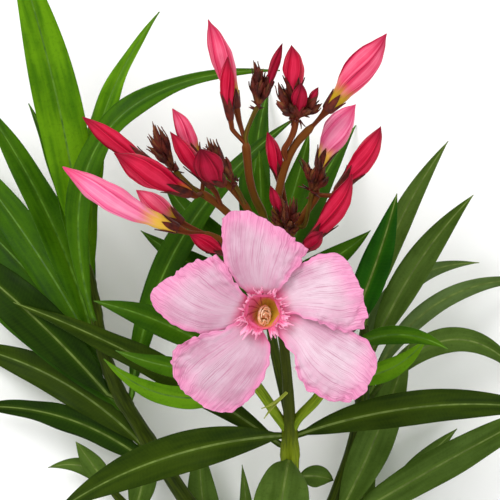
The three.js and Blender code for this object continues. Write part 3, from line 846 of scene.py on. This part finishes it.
def draw_stalk(shape, points, radii, kind=0, tile=(0, 0, 1, 1)):
    """A slender stalk of the truss, a little swollen at its far end."""
    line = along(points, STALK_ROWS)
    share = np.linspace(0, 1, STALK_ROWS)
    grown = spread(radii, STALK_ROWS) * (1 - 0.12 * np.sin(np.pi * share))
    grown += 0.2 * np.exp(-(((share - 1) / 0.1) ** 2))
    grown[-2:] *= (0.9, 0.5)

    def relief(p, a):
        return 0.05 * np.cos(3 * a)[None] + 0.05 * wobble(p, 3, 5)[:, None]

    tube(shape, line, grown, kind, 14, tile=tile, relief=relief)


for name in TRUSS_NODES:
    middles, radii = limb_points(name, 3.0)
    radii = radii * STALK_SWELL
    shape = Shape()
    draw_stalk(shape, middles, radii)
    material = BARK_TRUSS if name == "truss_upper_right" else BARK_FORK
    shape.make(name.replace("truss_", "stalk_"), [material], "truss", [name])


# ---------------------------------------------------------------- buds
SEAMS = np.array([0.0, 0.2, 0.42, 0.64, 0.83, 0.955, 0.992])  # places across a rolled petal
PETAL_SPANS = np.array([0.0, 0.24, 0.4, 0.62, 0.78])  # where the rolled petals begin, as shares of a turn
CALYX_LONG = 8.5  # of the redder buds, which are younger
CALYX_SHORT = 6.0
PETAL_STEP = 0.13  # how far a rolled petal's free edge stands off, as a share of the bud's radius
BUD_TWIST = 0.16  # of a turn, from the bud's foot to its tip
BUD_TONES = {
    "bud_pink_top": "pink", "bud_red_top": "red", "bud_pink_great": "pink", "bud_pink_behind": "pale",
    "bud_red_right": "red", "bud_red_right_low": "red", "bud_red_upper": "red", "bud_red_inner": "red",
    "bud_pink_left": "pink", "bud_red_left": "red", "bud_red_round": "dark", "bud_red_outer": "red",
    "bud_red_outer_low": "red", "bud_pink_outer": "pale",
}


def straight(foot, to):
    """A straight axis: the functions that give its points and its headings at lengths in mm."""
    return lambda b: foot + to * b[:, None], lambda b: np.repeat(to[None], len(b), axis=0)


def draw_sepals(shape, line_at, heading, radius_at, length, kind, seed, count=5, flare=0.5, width=1.9):
    """Narrow pointed sepals round an axis. line_at, heading and radius_at take lengths in mm."""
    rng = np.random.default_rng(seed)
    for k in range(count):
        turn = TURN * (k + rng.uniform(-0.15, 0.15)) / count + seed
        reach = length * rng.uniform(0.8, 1.2)
        v = np.linspace(0, 1, 11)
        a = v * reach - 0.4
        middle = line_at(a)
        side, rise = crossways(heading(a))
        out = side * math.cos(turn) + rise * math.sin(turn)
        tangent = np.cross(heading(a), out)
        half = np.maximum(width / 2 * (1 - v**2) * (0.75 + 0.5 * v), 0.06)
        lift = radius_at(a) + 0.14 + flare * rng.uniform(0.2, 1.3) * v**2.6
        drift = rng.uniform(-0.4, 0.4) * v**2
        u = np.array([1, 0.6, 0.2, -0.2, -0.6, -1])
        thick = 0.15 * np.clip((1 - np.abs(u)) * 2.5, 0.25, 1)
        bow = -0.3 * u**2 * half[:, None]
        across = u * half[:, None] + drift[:, None]
        faces = []
        for sign, order in ((1, slice(None)), (-1, slice(None, None, -1))):
            z = lift[:, None] + bow + sign * thick[None]
            face = middle[:, None] + out[:, None] * z[..., None] + tangent[:, None] * across[..., None]
            faces.append(face[:, order])
        points = np.concatenate(faces, axis=1)
        pattern = crossed(np.linspace(0, 1, points.shape[1] + 1), v)
        shape.grid(points, pattern, kind, wrap=True, tile=(0.72 + 0.05 * (k % 5), 0, 0.045, 0.4))


def draw_bud(shape, root, middles, girth, stalk_end, seed, kinds=(0, 1, 2), rows=48, sepals=6.0, thin=0.65):
    """A stalk from a root, a pointed calyx and five petals rolled round each other. stalk_end is in mm, and
    thin is the stalk's radius at its root. kinds: the material numbers of petals, sepals and stalk."""
    run = distances(middles)
    fit = np.polyfit(run, middles, min(3, len(run) - 1))
    body = run[-1] - stalk_end

    def radius_at(b):
        return girth * np.where(b >= 0, smooth(BUD_PROFILE, np.clip(b / body, 0, 1)), 0.3)

    v = np.linspace(0, 1, rows) ** 0.94
    a = stalk_end + body * v
    middle = read(fit, a)
    side, rise = crossways(ahead_of(fit, a))
    radius = girth * smooth(BUD_PROFILE, v)
    roll = TURN * BUD_TWIST * (v - 0.5) + 2.1 * seed
    step = np.clip((v - 0.2) / 0.25, 0, 1) * (1 - v**8)
    spans = np.diff(np.append(PETAL_SPANS, 1.0))
    turns = (PETAL_SPANS[:, None] + spans[:, None] * SEAMS).reshape(-1)
    part = np.tile(SEAMS, len(PETAL_SPANS))
    ruffle = 0.05 * np.sin(7 * v + seed)[:, None] * (part > 0.9) * step[:, None]
    theta = TURN * turns[None] + roll[:, None] + ruffle
    r = radius[:, None] * (1 + PETAL_STEP * step[:, None] * (part[None] - 0.55))
    r *= 1 - 0.06 * step[:, None] * np.sin(np.pi * part[None])
    spoke = spokes(side, rise, theta)
    points = middle[:, None] + spoke * r[..., None]
    points += (wobble(points, 3.5, seed) * 0.07 * girth)[..., None] * spoke
    pattern = crossed(np.append(part, 1.0), v)
    shape.grid(points, pattern, kinds[0], wrap=True, tile=(0, 0, 0.7, 1))
    draw_sepals(
        shape, lambda b: read(fit, stalk_end + b), lambda b: ahead_of(fit, stalk_end + b), radius_at,
        min(sepals, 0.42 * body), kinds[1], seed, width=min(2.6, girth * 0.95), flare=0.3,
    )
    lead = np.linspace(0.0, stalk_end * 0.7, 20)
    beside = lead[np.linalg.norm(read(fit, lead) - root, axis=1).argmin()]
    foot = np.linspace(beside + 0.6 * (stalk_end - beside), stalk_end + 0.6, 4)
    stalk = along(np.vstack([root, read(fit, foot)]), 18)
    thick = thin + max(0.36 * girth + 0.1 - thin, 0.1) * np.linspace(0, 1, len(stalk)) ** 3
    tube(shape, stalk, thick, kinds[2], 12, tile=(0.72, 0.5, 0.25, 0.45))


for k, (name, tone) in enumerate(BUD_TONES.items()):
    middles, radii = rings_of(name)
    shape = Shape()
    root = root_of(middles[0], 1.0, LIMBS, fork=FORK)
    calyx = CALYX_LONG if tone == "red" else CALYX_SHORT
    draw_bud(shape, root, middles, radii.max(), distances(middles)[2], k + 1, sepals=calyx)
    shape.make(name.replace("bud_", "furled_"), [SKINS[tone], CALYX, BARK_TRUSS], "bud", [name])

# Small closed buds crowd the forks of the truss. brown: the tips of the narrow ones that are wrapped in their
# sepals, all from the end of the stalk. red: foot, tip and girth of those that show their petals.
CLUSTERS = {
    "cluster_top": dict(
        stalk=[(-1.2, 33, 72), (0.2, 37, 73), (2.2, 41.2, 74)],
        brown=[
            (0.9, 54.4, 76), (2.4, 52.8, 78), (3.8, 52, 76), (6.4, 50.6, 75), (5.4, 47.6, 78), (0.6, 50, 75),
            (7.6, 51.8, 76), (3.4, 48.6, 79),
        ],
        red=[((4.4, 45, 75), (9.2, 59, 78), 1.5)],
        girth=1.35, bracts=4,
    ),
    "cluster_upper_right": dict(
        stalk=[(12.9, 36.8, 78.6), (13.2, 37.8, 79)],
        brown=[
            (19.4, 44.8, 82), (20.6, 41.8, 80), (7.4, 42.7, 80), (9.2, 46, 79), (17.6, 39.4, 84),
            (11.2, 41.5, 84), (8, 48, 78), (16.6, 43, 79), (10.6, 49.4, 78), (12.6, 42.6, 78),
            (8.6, 39.8, 81),
        ],
        red=[((13.8, 38.0, 80), (14.4, 47.0, 86), 2.4), ((16.0, 40, 80), (19.4, 46.2, 82), 1.2)],
        girth=1.45, bracts=8,
    ),
    "cluster_left": dict(
        stalk=[(-13.6, 15.6, 66), (-18, 19.4, 67), (-22, 23.4, 67)],
        brown=[
            (-28.2, 37.2, 71), (-26.8, 36, 72), (-29.4, 33.6, 70), (-30, 30.2, 69), (-25.2, 34.4, 72),
            (-27.6, 28.6, 70),
        ],
        red=[],
        girth=1.2, bracts=5,
    ),
    "cluster_middle": dict(
        stalk=[(-1.6, 13.4, 69), (-3, 16.5, 72), (-4.6, 19.2, 73)],
        brown=[(-12.4, 32.4, 76), (-10.6, 31.6, 78), (-13.6, 29.4, 76), (-8.4, 27, 75)],
        red=[],
        girth=1.35, bracts=3,
    ),
    "cluster_right": dict(
        stalk=[(15.8, 7, 63), (17.2, 12.5, 65), (18, 17, 67)],
        brown=[
            (14.4, 27, 71), (16, 25.4, 72), (20.2, 27.2, 70), (22.6, 21.4, 70), (18.6, 24, 74),
            (21.6, 24.4, 71),
        ],
        red=[],
        girth=1.2, bracts=5,
    ),
    "cluster_centre": dict(
        stalk=[(7.6, -2, 62), (9.4, 2, 65), (10.4, 5.4, 68)],
        brown=[
            (12.6, 15.4, 72), (14.4, 11, 72), (7.4, 8.4, 74), (6, 11.6, 73), (9.6, 12, 76), (11.6, 8, 76),
            (14, 6.6, 72), (8.6, 16, 71),
        ],
        red=[((9.4, 9, 70), (5.8, 18.6, 73), 1.5)],
        girth=1.25, bracts=6,
    ),
}
# Further short buds: foot, tip, girth and tone.
SIDE_BUDS = {
    "bud_beside_petal": ((-4.6, -2, 68), (-17.4, 4.4, 76), 2.4, "red"),
    "bud_under_truss": ((-17.6, 6.4, 61), (-33.5, 17.6, 58), 3.0, "pink"),
    "bud_over_petal": ((14, -1.6, 66), (20.8, 5.2, 75), 2.4, "dark"),
}


def draw_wrapped_bud(shape, foot, tip, girth, seed):
    """A narrow closed bud hidden by its own long, spiky sepals."""
    rng = np.random.default_rng(seed)
    way = tip - foot
    length = np.linalg.norm(way)
    to = way / length
    sideways = unit(np.cross(to, rng.normal(size=3))) * 0.07 * length
    t = np.linspace(0, 1, 16)
    line = foot + way * t[:, None] + sideways * np.sin(np.pi * t)[:, None]
    radii = girth * smooth([(0, 0.5), (0.3, 0.6), (0.55, 0.8), (0.75, 0.55), (0.9, 0.22), (1, 0.04)], t)
    tube(shape, line, radii, 2, 9, roll=rng.uniform(0, 3), tile=(0, 0, 0.7, 1))
    start = 0.34 * length

    def centre(b):
        share = (start + b) / length
        return foot + way * share[:, None] + sideways * np.sin(np.pi * share)[:, None]

    def radius(b):
        return girth * (0.35 + 0.4 * np.sin(np.pi * np.clip(b / (0.55 * length), 0, 1)))

    ahead = straight(foot, to)[1]
    draw_sepals(shape, centre, ahead, radius, 0.56 * length, 1, seed, 4, width=girth * 1.35)


def slim(b):
    """The radius of an axis that is next to nothing."""
    return 0.1 + 0 * b


def draw_bract(shape, foot, to, length, seed):
    """A pair of spiky bracts."""
    draw_sepals(shape, *straight(foot, to), slim, length, 1, seed, count=2, flare=0.7, width=1.2)


for k, (name, c) in enumerate(CLUSTERS.items()):
    rng = np.random.default_rng(50 + k)
    stalk = placed(c["stalk"])
    stalk = np.vstack([root_of(stalk[0], 1.5, TRUSS, fork=FORK), stalk])
    shape = Shape()
    draw_stalk(shape, stalk, (0.75, 0.7), 3, tile=(0.75, 0, 0.2, 1))
    for i, tip in enumerate(c["brown"]):
        way = placed(tip) - stalk[-1]
        girth = c["girth"] * rng.uniform(0.85, 1.1)
        draw_wrapped_bud(shape, stalk[-1] + 0.12 * way, stalk[-1] + way, girth, 60 * k + i)
    for i, (foot, tip, girth) in enumerate(c["red"]):
        foot, tip = placed((foot, tip))
        middles = along([stalk[-1], foot, foot + (tip - foot) * 0.5, tip], 8)
        stalk_end = np.linalg.norm(foot - stalk[-1]) + 0.5
        draw_bud(shape, stalk[-1], middles, girth, stalk_end, 70 + i, (0, 1, 3), 30, 4.5, 0.5)
    for i in range(c["bracts"]):
        to = unit(unit(stalk[-1] - stalk[0]) * 0.5 + rng.normal(size=3) * (0.8, 0.8, 0.5))
        place = stalk[-1] + rng.normal(size=3) * 0.7
        draw_bract(shape, place, to, rng.uniform(2.0, 3.6), 90 * k + i)
    shape.make(name, [SKINS["dark"], CALYX, BRACT, BARK_OLIVE], "bud")

for k, (name, (foot, tip, girth, tone)) in enumerate(SIDE_BUDS.items()):
    foot, tip = placed((foot, tip))
    shape = Shape()
    middles = along([foot, foot + (tip - foot) * 0.5 + UP * 0.6, tip], 8)
    draw_bud(shape, root_of(foot, 1.5, LIMBS, fork=FORK), middles, girth, 3.0, 30 + k, rows=36)
    shape.make(name, [SKINS[tone], CALYX, BARK_TRUSS], "bud")


# A pale, forked leaflet leaves the stem above the leaves' ring: foot and tip.
LEAFLET = ((10.6, -42.6, 52), (3.2, -49.3, 56))
foot, tip = placed(LEAFLET)
length = np.linalg.norm(tip - foot)
shape = Shape()
draw_sepals(shape, *straight(foot, (tip - foot) / length), slim, length, 0, 3, count=2, flare=1.6, width=1.9)
shape.make("young_leaflet", [GREENS["pale"]], "leaf")

# ---------------------------------------------------------------- the open flower
facing = unit(BLOOM_FACING)
bloom_at = BLOOM_CENTRE + SHIFT
turned = np.array(Vector(UP).rotation_difference(Vector(facing)).to_matrix())


def in_flower(points):
    return points @ turned.T + bloom_at


def draw_skin(shape, middle, thin, u, t, tile=(0, 0, 1, 1)):
    """Both faces of a petal or scale. u runs across it from 1 to -1, and t from its foot to its edge."""
    normal = unit(np.cross(np.gradient(middle, axis=1), np.gradient(middle, axis=0)))
    points = np.concatenate([middle + normal * thin, (middle - normal * thin)[:, ::-1]], axis=1)
    across = np.broadcast_to((u + 1) / 2, middle.shape[:2])
    across = np.concatenate([across, across[:, ::-1], across[:, :1]], axis=1)
    pattern = np.stack([across, np.broadcast_to(t, across.shape)], axis=-1)
    shape.grid(in_flower(points), pattern, 0, wrap=True, tile=tile)


PETAL_ROWS, PETAL_COLUMNS = 64, 64
PETAL_THIN = 0.15  # half a petal's thickness
SHADED_PETALS = (0, 3, 4)  # the top and left petals, which get the darker skin as painted shade


def draw_petal(turn, left, right, bulge, lean, layer, seed):
    """An oblique, crinkled petal that narrows to a claw at the throat."""
    shape = Shape()
    t = np.linspace(0, 1, PETAL_ROWS)[:, None]
    u = np.linspace(1, -1, PETAL_COLUMNS)[None]
    u = np.sign(u) * np.abs(u) ** 0.8
    edges = [along([(a, b, 0) for a, b in side], PETAL_ROWS)[:, None, :2] for side in (left, right)]
    flat = edges[0] * ((1 + u) / 2)[..., None] + edges[1] * ((1 - u) / 2)[..., None]
    flat[..., 0] += bulge * t**2.2 * (1 - np.abs(u) ** 2.8) * (1 + lean * u)
    span = np.linalg.norm(flat[:1, :, :] - flat, axis=-1)
    seat = np.concatenate([flat, np.zeros(flat.shape[:2] + (1,))], axis=-1)
    margin = np.maximum(np.abs(u) ** 4, t**6) * np.clip(t * 3, 0, 1)
    frill = wobble(seat, 1.3, seed) * 0.6 + wobble(seat, 3.4, seed + 3) * 1.0
    ruffled = np.where(u < 0, 1.5, 0.5) * np.abs(u) ** 3 + 0.7 * t**6
    out = flat[..., 0] + margin * frill * np.where(u < 0, 1.0, 0.55)
    x = flat[..., 1] + margin * wobble(seat, 2.0, seed + 5) * np.where(u < 0, 1.3, 0.6)
    level = -0.8 * (1 - t) ** 2 + 2 * (1 - t) * t * 5.0 + layer + 0 * u
    level = level + (np.sin(u * 9 + seed) * 0.16 + np.sin(u * 31 + 2 * seed) * 0.06) * t
    level = level + np.clip(t * 2, 0, 1) * ruffled * frill * 1.1 + wobble(seat, 11.0, seed + 7) * 1.5 * t
    level = level + np.where(u < 0, 1.3, -0.5) * np.abs(u) ** 2 * np.sin(np.pi * t**0.8) - 0.02 * span * t
    a = math.radians(turn)
    east, north = out * math.cos(a) - x * math.sin(a), out * math.sin(a) + x * math.cos(a)
    middle = np.stack([east, north, level], axis=-1)
    thin = PETAL_THIN * np.clip((1 - np.maximum(np.abs(u), t)) * 8, 0.3, 1)[..., None]
    draw_skin(shape, middle, thin, u, t)
    return shape


for k, spec in enumerate(PETALS):
    shape = draw_petal(seed=k + 1, **spec)
    skin = PETAL_SHADED if k in SHADED_PETALS else PETAL_LIT
    shape.make("petal_%d" % (k + 1), [skin], "petal", ["bloom"])


def lathe(shape, profile, kind, sides=40, tile=(0, 0, 1, 1), outward=True, aside=(0, 0)):
    """A surface turned about the flower's axis, or one aside of it, from a list of (radius, height)."""
    line = along([(r, z, 0) for r, z in profile], 26)
    angle = np.linspace(0, TURN, sides, endpoint=False) * (1 if outward else -1)
    r, z = line[:, :1], line[:, 1:2]
    x, y = r * np.cos(angle) + aside[0], r * np.sin(angle) + aside[1]
    points = np.stack(np.broadcast_arrays(x, y, z), axis=-1)
    pattern = crossed(np.linspace(0, 1, sides + 1), np.linspace(0, 1, len(line)))
    shape.grid(in_flower(points), pattern, kind, wrap=True, tile=tile)


shape = Shape()
# The tube's outer and inner profiles, as (radius, height) from the mouth.
outside = [
    (0.9, -TUBE), (1.4, -TUBE + 2), (1.8, -11), (2.8, -8), (4.2, -4.4), (5.1, -1), (THROAT + 0.25, 0.2),
]
inside = [(0.3, -5.6), (1.6, -5.4), (3.2, -4.2), (4.3, -1.8), (THROAT, 0.5)]
lathe(shape, outside, 0, tile=(0, 0, 0.5, 1))
lathe(shape, inside, 1, tile=(0.5, 0, 0.5, 1), outward=False)
shape.make("flower_tube", [TUBE_SKIN, THROAT_SKIN], "petal")

FRINGE_THIN = 0.12
FRINGE_ROWS, FRINGE_COLUMNS = 14, 61
FRINGE_TURN = math.radians(39)  # half of what one scale takes of the mouth's round
SPIKES = 3  # loose threads beside each scale


def draw_fringe(shape, turn, seed, tile):
    """One of the five fringed scales that ring the mouth."""
    rng = np.random.default_rng(seed)
    u = np.linspace(1, -1, FRINGE_COLUMNS)[None]
    t = np.linspace(0, 1, FRINGE_ROWS)[:, None]
    peaks = np.interp(u, np.linspace(-1, 1, 9), rng.uniform(0.55, 1.3, 9))
    comb = np.abs(np.sin(u * math.pi * rng.uniform(1.0, 1.6) + rng.uniform(0, 3))) ** 0.7
    ragged = 0.14 * np.sin(u * 23 + seed) + 0.1 * np.sin(u * 41 + 2 * seed)
    reach = t * (0.74 + 0.28 * comb + ragged) * peaks
    angle = math.radians(turn) + u * FRINGE_TURN
    curl = 0.9 * np.sin(u * 5 + seed) + 0.6 * np.sin(u * 9 + 2 * seed) + 0.3 * np.sin(u * 19 + seed)
    r = THROAT - 0.1 + 0.8 * reach + reach**3 + curl * reach**2 * 0.8
    z = -0.6 + 6.2 * reach - 2.0 * reach**3 + curl * reach**2
    middle = np.stack(np.broadcast_arrays(r * np.cos(angle), r * np.sin(angle), z + 0 * angle), axis=-1)
    draw_skin(shape, middle, FRINGE_THIN, u, t, tile)
    for i in range(SPIKES):
        a = math.radians(turn + rng.uniform(-32, 32))
        v = np.linspace(0, 1, 12)
        wave = 0.35 * np.sin(5 * v + rng.uniform(0, 6)) * v
        r = THROAT + 0.8 + rng.uniform(1.2, 2.9) * v
        line = np.stack([
            r * np.cos(a) - wave * math.sin(a), r * np.sin(a) + wave * math.cos(a),
            2.6 + rng.uniform(0.4, 1.4) * np.sin(2.2 * v),
        ], axis=-1)
        corner = (tile[0] + 0.01, tile[1] + 0.9 + 0.03 * i, tile[2] - 0.02, 0.025)
        tube(shape, in_flower(line), 0.22 * (1 - 0.8 * v), 0, 7, tile=corner)


shape = Shape()
for k, spec in enumerate(PETALS):
    draw_fringe(shape, spec["turn"], 11 + k, (0.2 * k, 0, 0.19, 0.88))
shape.make("corona", [CORONA], "petal")

THREADS = 9
THREAD_FOOT = -4.2  # the height of the threads' feet, from the mouth
THREAD_RISE = 4.4
shape = Shape()
core = [(1.3, THREAD_FOOT), (1.0, -3.4), (0.6, -2.8), (0.3, -2.5), (0.05, -2.4)]
lathe(shape, core, 0, 24, tile=(0, 0.75, 1, 0.25), aside=(0.7, -1.3))
for k in range(THREADS):
    t = np.linspace(0, 1, 26)
    angle = TURN * k / THREADS + 2.7 * t * (1 + 0.2 * math.sin(k))
    r = np.interp(t, np.linspace(0, 1, 5), [1.5, 1.9, 1.9, 1.4, 0.5]) + 0.3 * np.sin(7 * t + k) * t
    z = THREAD_FOOT + THREAD_RISE * t + 0.5 * math.sin(3 * k) * t
    x = 0.9 * r * np.cos(angle) + 0.7 - 0.5 * t
    y = 1.35 * r * np.sin(angle) - 1.1 - 0.9 * t
    line = in_flower(np.stack([x, y, z], axis=-1))
    tube(shape, line, 0.34 - 0.22 * t, 0, 8, tile=((k % 4) / 4, (k // 4) / 4, 0.24, 0.24))
shape.make("anther_threads", [THREAD], "petal")

# The flower's calyx and stalk.
STALK_START = 0.9  # where it leaves the main stem, as a share of that stem
shape = Shape()
stem_line, _ = limb("stem_main")
start = along(stem_line, 200)[int(STALK_START * 199)]
heel = in_flower(np.array([[0, 0, -TUBE + 0.5]]))[0]
mid = start + (heel - start) * 0.55 + np.array([0, -0.6, -1.0])
stalk = along([start, mid, heel, heel + facing * 1.5], 20)
tube(shape, stalk, np.linspace(0.95, 1.15, 20), 0, 12, tile=(0, 0, 0.5, 1))
draw_sepals(shape, *straight(heel, facing), lambda b: 1.1 + 0.07 * b, 5.0, 1, 77, width=1.8)
shape.make("flower_stalk", [BARK_TRUSS, CALYX], "truss")

# ---------------------------------------------------------------- floor, light and camera
floor_mat = Nodes("floor_pale")
speck = floor_mat.noise(14, 4)
floor_tone = floor_mat.mix(floor_mat.span(speck, 0.3, 0.7), "f8f8f7", "fbfbfa")
floor_mat.finish(floor_tone, speck, 0.8, 0.8)
bpy.ops.mesh.primitive_circle_add(vertices=96, radius=1.6, fill_type="NGON", location=(0, 0, 0))
floor = bpy.context.object
floor.name = "floor"
floor.data.materials.append(floor_mat.material)

world = bpy.data.worlds.new("studio")
bpy.context.scene.world = world
world.use_nodes = True
world.node_tree.nodes["Background"].inputs[0].default_value = (1, 1, 1, 1)
world.node_tree.nodes["Background"].inputs[1].default_value = 0.92


def area_light(name, place, aim, size, power):
    lamp = bpy.data.lights.new(name, "AREA")
    lamp.size = size
    lamp.energy = power
    lamp.shape = "DISK"
    holder = bpy.data.objects.new(name, lamp)
    holder.location = place
    holder.rotation_euler = (Vector(aim) - Vector(place)).to_track_quat("-Z", "Y").to_euler()
    bpy.context.scene.collection.objects.link(holder)


area_light("key", (-0.9, 1.1, 1.6), (0, 0, 0.04), 1.0, 23)
area_light("fill", (1.2, -0.6, 1.4), (0, 0, 0.04), 1.4, 6)

bpy.context.scene.view_settings.view_transform = "Standard"

camera_data = bpy.data.cameras.new("camera")
camera_data.sensor_width = SENSOR
camera_data.lens = SENSOR * VIEW_FOCUS / VIEW_WIDTH
camera = bpy.data.objects.new("camera", camera_data)
camera.location = (SHIFT[0] * MM, SHIFT[1] * MM, VIEW_HEIGHT * MM)
bpy.context.scene.collection.objects.link(camera)
bpy.context.scene.camera = camera
